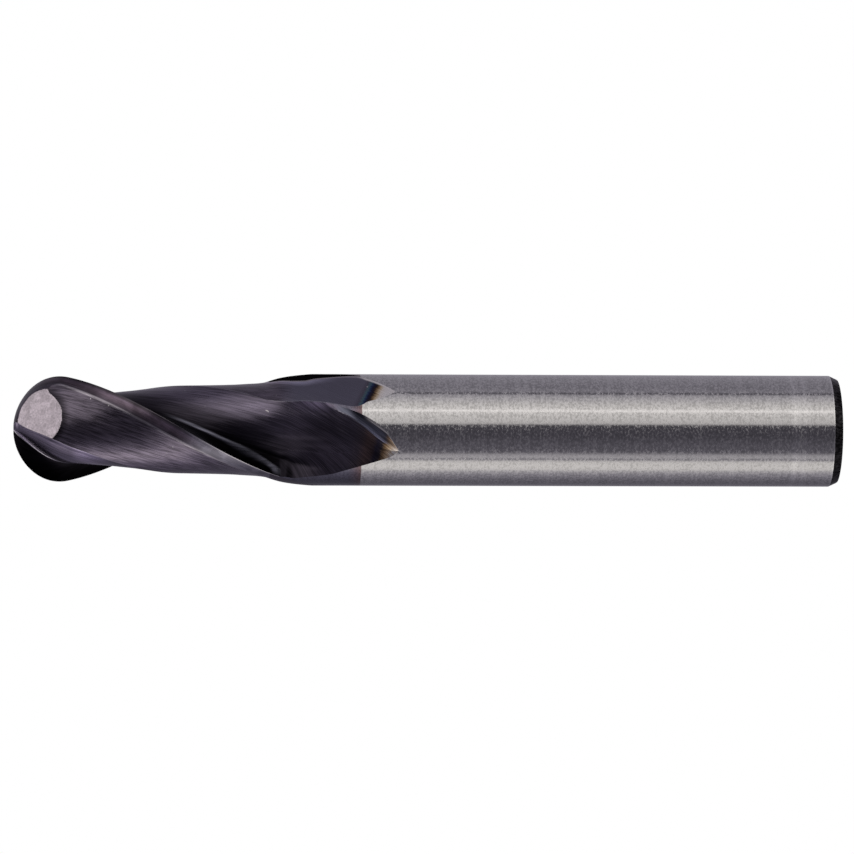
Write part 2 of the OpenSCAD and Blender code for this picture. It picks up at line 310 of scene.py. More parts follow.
def tooth_outline(station):
    """One ring of a tooth: trail angles, radii and the stretch of each point."""
    past = past_flute(station)
    crease, low = at_one(past, CREASE_PATH), at_one(past, FLUTE_LOW_PATH)
    shift = at_one(station, HEEL_SHIFT)
    leaf, top = at_one(past, LEAF_PATH) + shift, at_one(past, FLUTE_TOP_PATH) + shift
    land_end = min(at_one(station, LAND_PATH), 0.6 * crease)
    angles, radii, kinds = [], [], []
    for kind, (name, count) in enumerate(STRETCHES):
        t = np.arange(count) / count
        s = np.full(count, float(station))
        if name == "rake":
            order = t * (len(RAKE_WALL) - 1)
            hooked, calm, height = (
                curve(order, [(i, p[k]) for i, p in enumerate(RAKE_WALL)]) for k in range(3))
            angle = mix(top, low, mix(hooked, calm, smooth(past / 2))) - 180
            r = climbed_r(s, calm, mix(web_r(s), ball_r(s), height))
        elif name == "margin":
            angle = mix(low - 180, 0, t)
            r = ball_r(s)
        elif name == "land":
            angle = land_end * t
            r = relief_a_r(s, angle)
        elif name == "relief_a":
            angle = mix(land_end, crease, t)
            r = relief_a_r(s, angle)
        elif name == "relief_b":
            angle = mix(crease, leaf, t)
            r = relief_b_r(s, t)
        elif name == "strip":
            angle = mix(leaf, top, t)
            r = heel_r(s)
        else:
            share = t * FLOOR_SHARE
            angle = mix(top, low, share)
            heel = heel_r(s) - heel_ease(s) * smooth(share / EASE_SHARE)
            r = climbed_r(s, share, mix(heel, web_r(s), curve(share, FLUTE_ACROSS)))
        angles.append(angle)
        radii.append(r)
        kinds += [kind] * count
    return np.concatenate(angles), np.concatenate(radii), kinds


def place(station, angle, radius):
    """Points in metres, with angles from +Z towards -Y."""
    a = np.radians(np.atleast_1d(angle))
    x = np.full_like(a, TIP_X + station)
    return np.stack([x, -radius * np.sin(a), radius * np.cos(a)], 1) * MM


def edge_angle(station):
    return TIP_PHASE + TURN_RATE * station


# ---------------------------------------------------------------- meshes

def make_mesh(name, points, faces, slots, materials, attributes):
    """A mesh object with a material index per face and float attributes per point."""
    mesh = bpy.data.meshes.new(name)
    mesh.from_pydata(points, [], faces)
    mesh.update()
    for material in materials:
        mesh.materials.append(material)
    mesh.polygons.foreach_set("material_index", slots)
    mesh.polygons.foreach_set("use_smooth", [True] * len(faces))
    for key, values in attributes.items():
        mesh.attributes.new(key, "FLOAT", "POINT").data.foreach_set("value", values)
    mesh.set_sharp_from_angle(angle=math.radians(24))
    piece = bpy.data.objects.new(name, mesh)
    bpy.context.scene.collection.objects.link(piece)
    return piece


def strip_caps(angles, outer, web):
    """Triangles of an end face between outline points and points on the web."""
    reach = np.maximum.accumulate(angles) - angles[0]
    steps = np.minimum(WEB_STEPS, np.ceil(reach / 180 * WEB_STEPS) + 1).astype(int)
    faces = []
    for j in range(len(outer)):
        low = 0 if j == 0 else steps[j - 1]
        faces += [(outer[j], web[k], web[k + 1]) for k in range(low, steps[j])]
        if j + 1 < len(outer):
            faces.append((outer[j], web[steps[j]], outer[j + 1]))
    return faces


class Skin:
    """Rings of one or two teeth, with the feature and coordinates of every point."""

    def __init__(self, stations, turns):
        self.points, self.faces, self.slots = [], [], []
        self.trail, self.along, self.stations, self.turns = [], [], stations, turns
        for station in stations:
            angles, radii, self.kinds = tooth_outline(station)
            for turn in turns:
                ring = place(station, edge_angle(station) + turn + angles, radii)
                self.points += ring.tolist()
                self.trail += angles.tolist()
                self.along += [station] * len(angles)
        self.per_tooth = len(self.kinds)

    def close_tooth(self):
        """A lone tooth: its last outline point, then an arc back on the web."""
        n, rows = self.per_tooth, len(self.stations)
        points, trail, along = [], [], []
        for i, station in enumerate(self.stations):
            points += self.points[i * n:(i + 1) * n]
            trail += self.trail[i * n:(i + 1) * n]
            first = self.trail[i * n]
            end = place(station, edge_angle(station) + self.turns[0] + first + 180,
                        np.full(1, self.radius_at(i * n)))
            points += end.tolist()
            back = first + 180 * np.arange(WEB_STEPS, -1, -1) / WEB_STEPS
            arc = place(station, edge_angle(station) + self.turns[0] + back,
                        np.full(WEB_STEPS + 1, float(inner_r(station))))
            points += arc.tolist()
            trail += [first + 180] * (WEB_STEPS + 2)
            along += [station] * (n + WEB_STEPS + 2)
        self.points, self.trail, self.along = points, trail, along
        self.sides = n + WEB_STEPS + 2
        self.kinds = self.kinds + self.kinds[-1:]
        outer = list(range(n + 1))
        web = [n + 1 + WEB_STEPS - k for k in range(WEB_STEPS + 1)]
        for row, flip in ((0, False), (rows - 1, True)):
            angles = np.array(trail[row * self.sides:row * self.sides + n + 1])
            base = row * self.sides
            for f in strip_caps(angles, outer, web):
                face = tuple(base + v for v in f)
                self.faces.append(face if flip else face[::-1])
                self.slots.append(-1)

    def radius_at(self, index):
        p = self.points[index]
        return math.hypot(p[1], p[2]) / MM

    def close_whole(self):
        """Both teeth: flat ends across the whole section."""
        self.sides = self.per_tooth * len(self.turns)
        rows = len(self.stations)
        self.points += [[(TIP_X + s) * MM, 0, 0] for s in (self.stations[0], self.stations[-1])]
        self.trail += [0, 0]
        self.along += [self.stations[0], self.stations[-1]]
        centre = rows * self.sides
        for j in range(self.sides):
            k = (j + 1) % self.sides
            base = (rows - 1) * self.sides
            self.faces.append((centre, k, j))
            self.faces.append((centre + 1, base + j, base + k))
            self.slots += [-1, -1]

    def add_sides(self):
        rows, sides = len(self.stations), self.sides
        kinds = self.kinds * len(self.turns)
        for i in range(rows - 1):
            for j in range(sides):
                k = (j + 1) % sides
                self.faces.append((i * sides + j, i * sides + k,
                                   (i + 1) * sides + k, (i + 1) * sides + j))
                self.slots.append(kinds[j] if j < len(kinds) else -1)


# Materials of a cutting piece, in slot order, and the stretches that take each
CUT_SLOTS = ["land", "relief", "flute", "blank", "facet", "hidden", "crescent"]
SLOT_OF = {"rake": 2, "margin": 0, "land": 0, "relief_a": 1, "relief_b": 1,
           "strip": 3, "flute": 2}
FACET_START = 0.45


def surface_slot(name, trail, station):
    """The material slot at one place on a tooth."""
    past = float(past_flute(station))
    if name in ("land", "relief_a", "relief_b") and FACET_START < station < BALL_END:
        at = np.full(1, station)
        if facet_r(station, trail) < body_r(at, np.full(1, trail))[0]:
            return CUT_SLOTS.index("facet")
    behind_land = trail > curve(np.full(1, station), LAND_PATH)[0]
    if name in ("relief_a", "relief_b") and station < BALL_END and not behind_land:
        return CUT_SLOTS.index("land")
    if name in ("land", "relief_a") and past > 0.3:
        return CUT_SLOTS.index("crescent" if past < 8.5 else "blank")
    if name == "relief_b" and past > LEAF_END - 0.1:
        return CUT_SLOTS.index("blank")
    if name in ("flute", "rake") and past > 11.7:
        return CUT_SLOTS.index("blank")
    if name == "margin" and past > 1.2:
        return CUT_SLOTS.index("blank")
    return SLOT_OF[name]


def slot_numbers(skin):
    """The material slot of each face, from its stretch and where it lies."""
    names = [name for name, _ in STRETCHES]
    trails, along = np.array(skin.trail), np.array(skin.along)
    numbers = []
    for face, kind in zip(skin.faces, skin.slots):
        if kind < 0:
            numbers.append(CUT_SLOTS.index("hidden"))
            continue
        corners = list(face)
        numbers.append(surface_slot(names[kind], trails[corners].mean(), along[corners].mean()))
    return numbers


def features(skin):
    """How far each point lies from the lines of its tooth, for the materials."""
    along, trail = np.array(skin.along), np.array(skin.trail)
    past = past_flute(along)
    per_degree = RADIUS * math.pi / 180
    shift = curve(along, HEEL_SHIFT)
    top, low = curve(past, FLUTE_TOP_PATH) + shift, curve(past, FLUTE_LOW_PATH)
    full = past <= 0
    land = np.where(full, trail - curve(along, LAND_PATH), 90)
    crease = np.where(full, 90, trail - curve(past, CREASE_PATH))
    share = (np.where(trail < 0, trail + 180, trail) - top) / (low - top)
    gap = facet_r(along, trail) - body_r(along, np.clip(trail, 0, HEEL_ANGLE))
    beyond_facet = np.where(along < BALL_END, np.clip(gap, 0, 2), 2)
    return {
        "trail": skin.trail,
        "station": skin.along,
        "past_land": (land * per_degree).tolist(),
        "past_crease": (crease * per_degree).tolist(),
        "past_heel": ((trail - curve(past, LEAF_PATH) - shift) * per_degree).tolist(),
        "past_facet": beyond_facet.tolist(),
        "share": share.tolist(),
    }


def cutting_piece(name, stations, turns, materials):
    skin = Skin(stations, turns)
    if len(turns) == 1:
        skin.close_tooth()
    else:
        skin.close_whole()
    skin.add_sides()
    return make_mesh(name, skin.points, skin.faces, slot_numbers(skin), materials,
                     features(skin))


def spaced(low, high, step):
    count = max(2, round((high - low) / step))
    return [low + (high - low) * i / count for i in range(count + 1)]


def ball_stations():
    count = 110
    return [FIRST_RING + (BALL_END - FIRST_RING) * (i / count) ** 1.6 for i in range(count + 1)]


def lathe(name, outline, sides, materials):
    """A closed turned piece from (station, radius, slot) points, ends on the axis."""
    points, faces, slots = [], [], []
    rings = outline[1:-1]
    for station, radius, _ in rings:
        points += place(station, 360 * np.arange(sides) / sides, np.full(sides, radius)).tolist()
    first, last = len(points), len(points) + 1
    points += [[(TIP_X + s) * MM, 0, 0] for s in (outline[0][0], outline[-1][0])]
    for i in range(len(rings) - 1):
        for j in range(sides):
            k = (j + 1) % sides
            faces.append((i * sides + j, i * sides + k, (i + 1) * sides + k, (i + 1) * sides + j))
            slots.append(rings[i][2])
    base = (len(rings) - 1) * sides
    for j in range(sides):
        k = (j + 1) % sides
        faces.append((first, k, j))
        faces.append((last, base + j, base + k))
        slots += [outline[0][2], rings[-1][2]]
    return make_mesh(name, points, faces, slots, materials, {})


def shank_outline():
    """The plain cylinder, with tiny rounds where the chamfer starts and ends."""
    end, round_l = LENGTH, 0.05
    rim = RADIUS - CHAMFER_DEPTH
    slope = CHAMFER_DEPTH / CHAMFER_L
    outline = [(NECK_END, 0, 2), (NECK_END, RADIUS, 0)]
    outline += [(s, RADIUS, 0) for s in spaced(NECK_END + 1, end - CHAMFER_L - 0.2, 1)]
    outline += [
        (end - CHAMFER_L - round_l, RADIUS, 0),
        (end - CHAMFER_L, RADIUS - 0.2 * slope * round_l, 1),
        (end - CHAMFER_L + round_l, RADIUS - slope * round_l, 1),
        (end - round_l, rim + slope * round_l, 1),
        (end - 0.2 * round_l, rim, 1),
        (end, rim - round_l, 2),
        (end, rim * 0.66, 2),
        (end, rim * 0.33, 2),
        (end, 0, 2),
    ]
    return outline


# ---------------------------------------------------------------- materials

def set_stops(ramp, stops):
    """Give a colour ramp its (position, colour) stops, in order."""
    elements = ramp.color_ramp.elements
    while len(elements) < len(stops):
        elements.new(0.5)
    for element, (place_at, colour) in zip(elements, stops):
        element.position = place_at
        element.color = (*colour, 1)


class Nodes:
    """A short way to write a node tree: each call adds one node and returns its output."""

    def __init__(self, owner):
        """Start on the emptied tree of a new material or world."""
        self.owner = owner
        owner.use_nodes = True
        self.tree = owner.node_tree
        self.tree.nodes.clear()

    def add(self, kind, values=(), output=0, **settings):
        node = self.tree.nodes.new(kind)
        for key, value in settings.items():
            setattr(node, key, value)
        for key, value in dict(values).items():
            self.set(node.inputs[key], value)
        return node.outputs[output]

    def set(self, socket, value):
        if isinstance(value, bpy.types.NodeSocket):
            self.tree.links.new(value, socket)
        else:
            socket.default_value = value

    def math(self, operation, a, b=0.0):
        return self.add("ShaderNodeMath", {0: a, 1: b}, operation=operation)

    def axes(self, vector):
        node = self.tree.nodes.new("ShaderNodeSeparateXYZ")
        self.set(node.inputs[0], vector)
        return node.outputs

    def attribute(self, name):
        return self.add("ShaderNodeAttribute", output="Fac", attribute_name=name)

    def position(self):
        """Object coordinates in millimetres."""
        coords = self.add("ShaderNodeTexCoord", output="Object")
        return self.add("ShaderNodeVectorMath", {0: coords, 3: 1 / MM}, operation="SCALE")

    def stretched(self, x, y, z):
        """Object coordinates in millimetres, scaled along each axis."""
        return self.add("ShaderNodeVectorMath", {0: self.position(), 1: (x, y, z)},
                        operation="MULTIPLY")

    def noise(self, vector, scale, detail=2.0, rough=0.5):
        return self.add("ShaderNodeTexNoise", {
            "Vector": vector, "Scale": scale, "Detail": detail, "Roughness": rough})

    def vector(self, x, y, z=0.0):
        return self.add("ShaderNodeCombineXYZ", {0: x, 1: y, 2: z})

    def span(self, value, low, high, out_low=0.0, out_high=1.0, smooth_steps=True):
        return self.add("ShaderNodeMapRange", {
            "Value": value, "From Min": low, "From Max": high, "To Min": out_low,
            "To Max": out_high}, interpolation_type="SMOOTHSTEP" if smooth_steps else "LINEAR")

    def ramp(self, value, stops):
        node = self.tree.nodes.new("ShaderNodeValToRGB")
        set_stops(node, stops)
        self.set(node.inputs[0], value)
        return node.outputs[0]

    def blend(self, share, a, b):
        node = self.tree.nodes.new("ShaderNodeMix")
        node.data_type = "RGBA"
        self.set(node.inputs[0], share)
        for socket, value in ((node.inputs[6], a), (node.inputs[7], b)):
            self.set(socket, (*value, 1) if isinstance(value, tuple) else value)
        return node.outputs[2]

    def finish(self, colour, roughness, height, bump_mm, anisotropic=0.0, tangent=None,
               metallic=1.0, specular=0.5, glow=0.0):
        shader = self.tree.nodes.new("ShaderNodeBsdfPrincipled")
        if isinstance(colour, tuple):
            colour = (*colour, 1)
        self.set(shader.inputs["Base Color"], colour)
        self.set(shader.inputs["Roughness"], roughness)
        self.set(shader.inputs["Metallic"], metallic)
        shader.inputs["Specular IOR Level"].default_value = specular
        shader.inputs["Emission Color"].default_value = (1, 1, 1, 1)
        shader.inputs["Emission Strength"].default_value = glow
        self.set(shader.inputs["Anisotropic"], anisotropic)
        if tangent is not None:
            self.set(shader.inputs["Tangent"], tangent)
            shader.inputs["Anisotropic Rotation"].default_value = 0.25
        if height is not None:
            bump = self.add("ShaderNodeBump", {"Height": height, "Distance": bump_mm * MM,
                                               "Strength": 1.0})
            self.set(shader.inputs["Normal"], bump)
        output = self.tree.nodes.new("ShaderNodeOutputMaterial")
        self.tree.links.new(shader.outputs[0], output.inputs[0])
        return self.owner


BARE = (0.56, 0.555, 0.55)
COAT = (0.125, 0.108, 0.138)
COAT_DARK = (0.04, 0.034, 0.044)
# Painted highlight colours: a pale one for corners and creases, a whiter one for the rim at the
# run-out's end
HIGHLIGHT_LINE = (0.36, 0.335, 0.37)
RIM_HIGHLIGHT = (0.95, 0.92, 0.88)
CHAMFER = (0.11, 0.105, 0.115)
INSIDE = (0.42, 0.42, 0.42)
# The facet's coating is painted far paler than the rest, a painted reflection of the bright light
# it faces
FACET_PAINTED_LIGHT = (0.7, 0.63, 0.68)

# Where the coating ends on the blank, and how its colours run in the run-outs
COAT_END = NECK_END - 3.8
TINT_START, TINT_LENGTH = COAT_END - 0.8, 3.9
# The run-outs' marks turn steeper from here on
MARKS_TURN = FLUTE_L + 2
LEAF = (0.135, 0.13, 0.17)
LEAF_TINTS = [
    (0.0, LEAF), (0.36, LEAF), (0.44, (0.1, 0.09, 0.12)), (0.5, (0.085, 0.15, 0.175)),
    (0.54, (0.03, 0.05, 0.12)), (0.58, (0.015, 0.015, 0.04)), (0.64, (0.03, 0.02, 0.02)),
    (0.685, (0.26, 0.17, 0.09)), (0.73, (0.62, 0.5, 0.33)), (0.79, (0.85, 0.8, 0.73)),
    (0.88, (0.85, 0.83, 0.8)),
]
FLUTE_TINTS = [
    (0.0, (0.055, 0.048, 0.064)), (0.2, (0.055, 0.045, 0.055)), (0.36, (0.066, 0.045, 0.045)),
    (0.5, (0.046, 0.032, 0.033)), (0.6, (0.02, 0.018, 0.03)), (0.7, (0.03, 0.025, 0.03)),
    (0.78, (0.2, 0.13, 0.07)), (0.88, (0.45, 0.34, 0.22)), (1.0, (0.62, 0.56, 0.48)),
]
# Where the painted highlight of the streak in the hollow of the rake lies: station, degrees ahead
# of the edge
STREAK_HIGHLIGHT_PATH = [
    (13.5, 15.5), (15.9, 13.2), (17.7, 10.4), (19.5, 6.8), (21.3, 4.4), (23.1, 1.9), (25, 1.6),
]


def ground_marks(n, scale_across, scale_along, lean, seed):
    """Noise drawn out along the grinding direction, in a tooth's own coordinates."""
    trail, station = n.attribute("trail"), n.attribute("station")
    per_degree = RADIUS * math.pi / 180
    steeper = n.add("ShaderNodeMath", {0: n.math("SUBTRACT", station, MARKS_TURN), 1: 0.0, 2: 2.0},
                    operation="SMOOTH_MAX")
    drift = n.math("ADD", n.math("MULTIPLY", station, lean * TURN_RATE * per_degree),
                   n.math("MULTIPLY", steeper, -0.5 * TURN_RATE * per_degree))
    across = n.math("ADD", n.math("MULTIPLY", trail, per_degree), drift)
    coarse = n.vector(n.math("MULTIPLY", across, scale_across),
                      n.math("MULTIPLY", station, scale_along), seed)
    fine = n.vector(n.math("MULTIPLY", across, scale_across * 2.1),
                    n.math("MULTIPLY", station, scale_along * 2.3), seed + 5)
    broad = n.noise(coarse, 1.0, 3.0, 0.6)
    thin = n.noise(fine, 1.0, 2.0, 0.6)
    return n.math("ADD", n.math("MULTIPLY", broad, 0.5), n.math("MULTIPLY", thin, 0.5))


def tinted(n, stops, across, level, slant, marks):
    """A coating colour that runs through its tints along the tool, on a slant."""
    jitter = n.math("MULTIPLY", n.math("SUBTRACT", marks, 0.5), 0.8)
    lean = n.math("MULTIPLY", n.math("SUBTRACT", across, level), slant)
    moved = n.math("ADD", n.attribute("station"), n.math("ADD", jitter, lean))
    return n.ramp(n.span(moved, TINT_START, TINT_START + TINT_LENGTH, smooth_steps=False), stops)


def specks(n, colour, size, amount):
    """Tiny pale flecks, as lint and grit catch the light on a new tool."""
    dots = n.noise(n.position(), size, 0.0)
    return n.blend(n.span(dots, 1 - amount, 1 - amount + 0.03), colour, (0.45, 0.43, 0.45))


def painted_highlight_line(n, colour, attribute, width, shine, strength=1.0):
    """A painted highlight on a corner that catches the light, along the zero of an attribute in
    millimetres.
    """
    away = n.math("DIVIDE", n.math("ABSOLUTE", n.attribute(attribute)), width)
    return n.blend(n.math("MULTIPLY", n.span(away, 1.0, 0.25), strength), colour, shine)


def land_highlight(n, colour, station):
    """A painted highlight on the corner where the land meets the relief, from the end of the facet
    on.
    """
    return painted_highlight_line(n, colour, "past_land", 0.2, HIGHLIGHT_LINE,
                   n.math("MULTIPLY", n.span(station, 3.2, 4.8), 0.75))


def shaded(n, colour, factor):
    return n.add("ShaderNodeVectorMath", {0: colour, 3: factor}, operation="SCALE")


def factor_ramp(n, value, stops):
    """A smooth factor from (value, factor) pairs."""
    low, high = stops[0][0], stops[-1][0]
    peak = max(level for _, level in stops)
    place_at = n.span(value, low, high, smooth_steps=False)
    ramp = n.ramp(place_at, [((v - low) / (high - low), (f / peak,) * 3) for v, f in stops])
    return n.math("MULTIPLY", ramp, peak)


def coated(name, seed, scale_across, scale_along, lean, bump_mm, roughness, contrast,
           paint, calm=0.0):
    """A ground and coated face; its marks grow calm past the full flutes."""
    n = Nodes(bpy.data.materials.new(name))
    marks = ground_marks(n, scale_across, scale_along, lean, seed)
    colour = paint(n, marks)
    rest = n.span(n.attribute("station"), FLUTE_L + 0.5, FLUTE_L + 3, 1.0, 1.0 - calm)
    swing = n.math("MULTIPLY", n.span(marks, 0.36, 0.64, -contrast, contrast * 0.75), rest)
    colour = shaded(n, colour, n.math("ADD", swing, 1.0))
    marks = n.math("ADD", n.math("MULTIPLY", n.math("SUBTRACT", marks, 0.5), rest), 0.5)
    colour = specks(n, colour, 2.6, 0.135)
    rough = n.span(marks, 0.25, 0.75, roughness - 0.07, roughness + 0.09)
    return n.finish(colour, rough, marks, bump_mm)


def paint_relief(n, marks):
    """Relief: painted highlights on the corners at the land and the crease, painted light and
    shade, tints where it runs out.
    """
    station = n.attribute("station")
    colour = n.blend(n.span(station, FLUTE_L + 0.5, FLUTE_L + 3), COAT,
                     tinted(n, LEAF_TINTS, n.attribute("trail"), 1.3, 0.028, marks))
    # Painted sheen: just past the crease of a run-out the relief is painted up to three times
    # lighter, fading out towards its end
    painted_sheen = n.math("MULTIPLY", n.span(n.attribute("past_crease"), 0.9, 0.05),
                   n.span(station, 29.5, 25.5))
    colour = shaded(n, colour, n.math("ADD", n.math("MULTIPLY", painted_sheen, 2.0), 1.0))
    # Painted light: lighter below the axis, and a little darker on the ball
    low = n.span(n.axes(n.position())[2], -0.3, -2.6, 1.05, 1.85)
    colour = shaded(n, colour, n.math("MULTIPLY", low, n.span(station, 5.5, 10.5, 0.92, 1.0)))
    # Painted shadow: darker right beside the facet
    colour = shaded(n, colour, n.span(n.attribute("past_facet"), 0.0, 0.5, 0.3, 1.0))
    colour = land_highlight(n, colour, station)
    # Painted highlight along the crease, whiter at the run-out's end
    shine = n.blend(n.span(station, 30.5, 31.5), HIGHLIGHT_LINE, RIM_HIGHLIGHT)
    return painted_highlight_line(n, colour, "past_crease", n.span(station, 29, 31, 0.18, 0.34), shine)


def flute_floor_painted_light(n, marks, share, station):
    """The floor's colour: painted paler along its upper side, painted black up the rake, painted
    highlights and a painted shadow where it runs out, even at the end.
    """
    # Painted light and shade across the full flutes: paler along the upper side, black up the rake
    across = factor_ramp(n, share, [
        (0, 1.9), (0.12, 3.0), (0.35, 2.3), (0.55, 0.8), (0.74, 0.4), (0.84, 0.16), (1, 0.16)])
    # On the ball: a painted highlight on the gash floor, painted black up the rake
    ball = factor_ramp(n, share, [
        (0, 6.0), (0.12, 4.3), (0.2, 3.6), (0.3, 4.6), (0.45, 7.5), (0.89, 8.0), (0.912, 0.18),
        (1, 0.18)])
    # Where the flute runs out: painted light across the floor
    out = factor_ramp(n, share, [(0, 1.05), (0.35, 1.05), (0.55, 1.0), (0.75, 1.35), (1, 1.2)])
    # A painted highlight along the upper edge where the flute runs out
    glow = factor_ramp(n, share, [(0, 10.0), (0.09, 4.0), (0.2, 1.4), (0.35, 0)])
    # A painted shadow up the rake where the flute runs out
    painted_shadow = n.add("ShaderNodeMix", {0: n.span(share, 0.72, 0.9), 2: 1.0,
                                     3: factor_ramp(n, station, [
                                         (23.5, 0.2), (24.1, 0.2), (24.8, 0.42), (27.4, 1.1)])})
    out = n.math("ADD", n.math("MULTIPLY", out, painted_shadow),
                 n.math("MULTIPLY", glow, n.span(station, 28.4, 26.2, 0.2, 1.0)))
    out = n.math("MULTIPLY", out, n.span(station, 26, 29.5, 0.9, 1.35))
    # A painted lighter patch on the upper side of the floor where the ball meets the flutes
    painted_light_patch = n.math("MULTIPLY", n.span(station, 4.9, 6.3), n.span(share, 0.42, 0.2))
    ball = n.math("MULTIPLY", ball, n.math("ADD", n.math("MULTIPLY", painted_light_patch, 1.4), 1.0))
    ends = n.span(station, n.span(share, 0.7, 0.84, FLUTE_L + 1, FLUTE_L + 0.3),
                  n.span(share, 0.7, 0.84, FLUTE_L + 5, FLUTE_L + 1.4))
    full = n.add("ShaderNodeMix", {0: n.span(station, 9.5, 6.5), 2: across, 3: ball})
    level = n.add("ShaderNodeMix", {0: ends, 2: full, 3: out})
    return shaded(n, tinted(n, FLUTE_TINTS, share, 0.3, 0.8, marks), level)


def side_wall(n, colour, share, station):
    """The run-out's side wall, its crease with a painted highlight, and the painted highlight of
    the bright rim at the very end.
    """
    inside = n.math("SUBTRACT", share, factor_ramp(n, station, WALL_PATH))
    started = n.math("MULTIPLY", n.span(station, 28.0, 29.4), n.span(station, 33.6, 32.6))
    wall = n.math("MULTIPLY", n.span(inside, 0.006, -0.006), started)
    wall_colour = shaded(n, (0.115, 0.12, 0.155), n.span(inside, -0.14, 0.0, 0.4, 1.3))
    wall_colour = shaded(n, wall_colour, n.span(station, 30.4, 32.4, 1.0, 3.4))
    colour = n.blend(wall, colour, wall_colour)
    # Painted highlight along the wall's crease
    crease = n.math("MULTIPLY", n.span(n.math("ABSOLUTE", inside), 0.014, 0.003), started)
    colour = n.blend(n.math("MULTIPLY", crease, 0.5), colour, HIGHLIGHT_LINE)
    # Painted highlight: the bright rim at the very end
    rim = n.math("MULTIPLY", n.span(share, 0.09, 0.04), n.span(station, 31.0, 32.0))
    return n.blend(rim, colour, RIM_HIGHLIGHT)


def paint_flute(n, marks):
    """Flute and rake, with the painted highlights of the streaks where the hollow below the edge
    catches the light, of the root line on the ball, and of the heel.
    """
    trail, station, share = (n.attribute(key) for key in ("trail", "station", "share"))
    colour = side_wall(n, flute_floor_painted_light(n, marks, share, station), share, station)
    # Painted highlight: the streak in the hollow below the edge
    from_streak = n.math("ADD", trail, factor_ramp(n, station, STREAK_HIGHLIGHT_PATH))
    hollow = n.span(n.math("ABSOLUTE", from_streak), n.span(station, 20, 23, 4.4, 1.5), 0.4)
    on_flute = n.math("MULTIPLY", n.span(station, 13.0, 17.0), n.span(station, 23.9, 23.2))
    streak = shaded(n, (0.135, 0.135, 0.17), n.span(station, 21.0, 22.8, 1.0, 2.7))
    colour = n.blend(n.math("MULTIPLY", hollow, on_flute), colour, streak)
    # Painted highlight along the root line of the rake on the ball
    centre = n.span(station, 1, 5, 9.2, 10.6)
    root = n.span(n.math("ABSOLUTE", n.math("ADD", trail, centre)), 1.9, 0.5)
    colour = n.blend(n.math("MULTIPLY", root, n.span(station, 8.0, 5.0)), colour,
                     (0.58, 0.55, 0.61))
    # Painted highlight along the heel ridge
    return painted_highlight_line(n, colour, "past_heel", 0.1, HIGHLIGHT_LINE)


def land_material():
    """The narrow land: a dark strip behind the edge, fine lines, painted light and shade, and
    painted highlights on the edge and the rear corner.
    """
    n = Nodes(bpy.data.materials.new("coated_land"))
    marks = ground_marks(n, 9, 0.35, 0.0, 11)
    trail, station = n.attribute("trail"), n.attribute("station")
    # Strips across the land stand for its grinding steps and are also painted reflections along
    # its curve
    strips = n.ramp(n.span(trail, -1, LAND_ANGLE + 1, smooth_steps=False), [
        (0.0, (0.1, 0.09, 0.1)), (0.08, COAT_DARK), (0.2, (0.085, 0.07, 0.085)),
        (0.3, (0.16, 0.125, 0.165)), (0.42, (0.155, 0.12, 0.155)), (0.6, (0.115, 0.09, 0.115)),
        (0.88, (0.08, 0.068, 0.088)), (1.0, COAT)])
    grey = n.blend(n.span(station, 14, 17), strips, (0.11, 0.105, 0.125))
    patches = n.noise(n.position(), 0.9, 2.0)
    colour = shaded(n, grey, n.math("MULTIPLY", n.span(marks, 0.3, 0.7, 0.7, 1.25),
                                    n.span(patches, 0.38, 0.62, 0.82, 1.18)))
    # Painted light and shade along the tool: darker on the ball, lighter along the flutes
    colour = shaded(n, colour, factor_ramp(n, station, [
        (0, 0.6), (6, 0.65), (7.8, 0.72), (8.6, 0.95), (9.4, 1.1), (11, 0.85), (12.1, 1.3),
        (12.9, 1.5), (14.3, 1.4), (15, 1.55), (15.7, 2.1), (16.5, 2.7), (17.2, 2.0),
        (18, 2.3), (20, 2.25), (30, 2.0)]))
    # Painted shade: the rear of the land is darker along part of the flutes
    rear = n.math("MULTIPLY", n.span(station, 12, 13.5), n.span(station, 19, 17.5))
    colour = shaded(n, colour, n.add("ShaderNodeMix", {0: rear, 2: 1.0,
                                                       3: n.span(trail, 6, 12, 1.0, 0.66)}))
    # Painted highlight along the cutting edge, where worn coating also shows
    edge = n.span(n.math("ABSOLUTE", trail), 1.3, 0.5)
    bright = n.span(station, 14.5, 17.5, 0.05, 1.0)
    colour = n.blend(n.math("MULTIPLY", edge, bright), colour, (0.55, 0.53, 0.55))
    colour = land_highlight(n, colour, station)
    rough = n.span(marks, 0.25, 0.75, 0.24, 0.36)
    return n.finish(colour, rough, marks, 0.0012)


def crescent_material():
    """Where the land has run out on the blank: painted black shade over the top on the near side,
    plain elsewhere.
    """
    n = Nodes(bpy.data.materials.new("coated_crescent"))
    marks = ground_marks(n, 6.0, 0.4, 0.0, 17)
    _, depth, height = n.axes(n.position())
    # Painted shade: black and without reflection over the top on the near side
    above = n.math("MULTIPLY", n.span(height, -0.5, 0.5), n.span(depth, 1.8, 0.4))
    colour = shaded(n, n.blend(above, COAT, (0.004, 0.0035, 0.005)),
                    n.span(marks, 0.3, 0.7, 0.7, 1.2))
    # Painted highlight along the crease
    colour = painted_highlight_line(n, colour, "past_crease", 0.1, HIGHLIGHT_LINE, 0.8)
    return n.finish(colour, n.span(marks, 0.3, 0.7, 0.3, 0.4), marks, 0.001,
                    metallic=n.math("SUBTRACT", 1.0, above), specular=0.0)


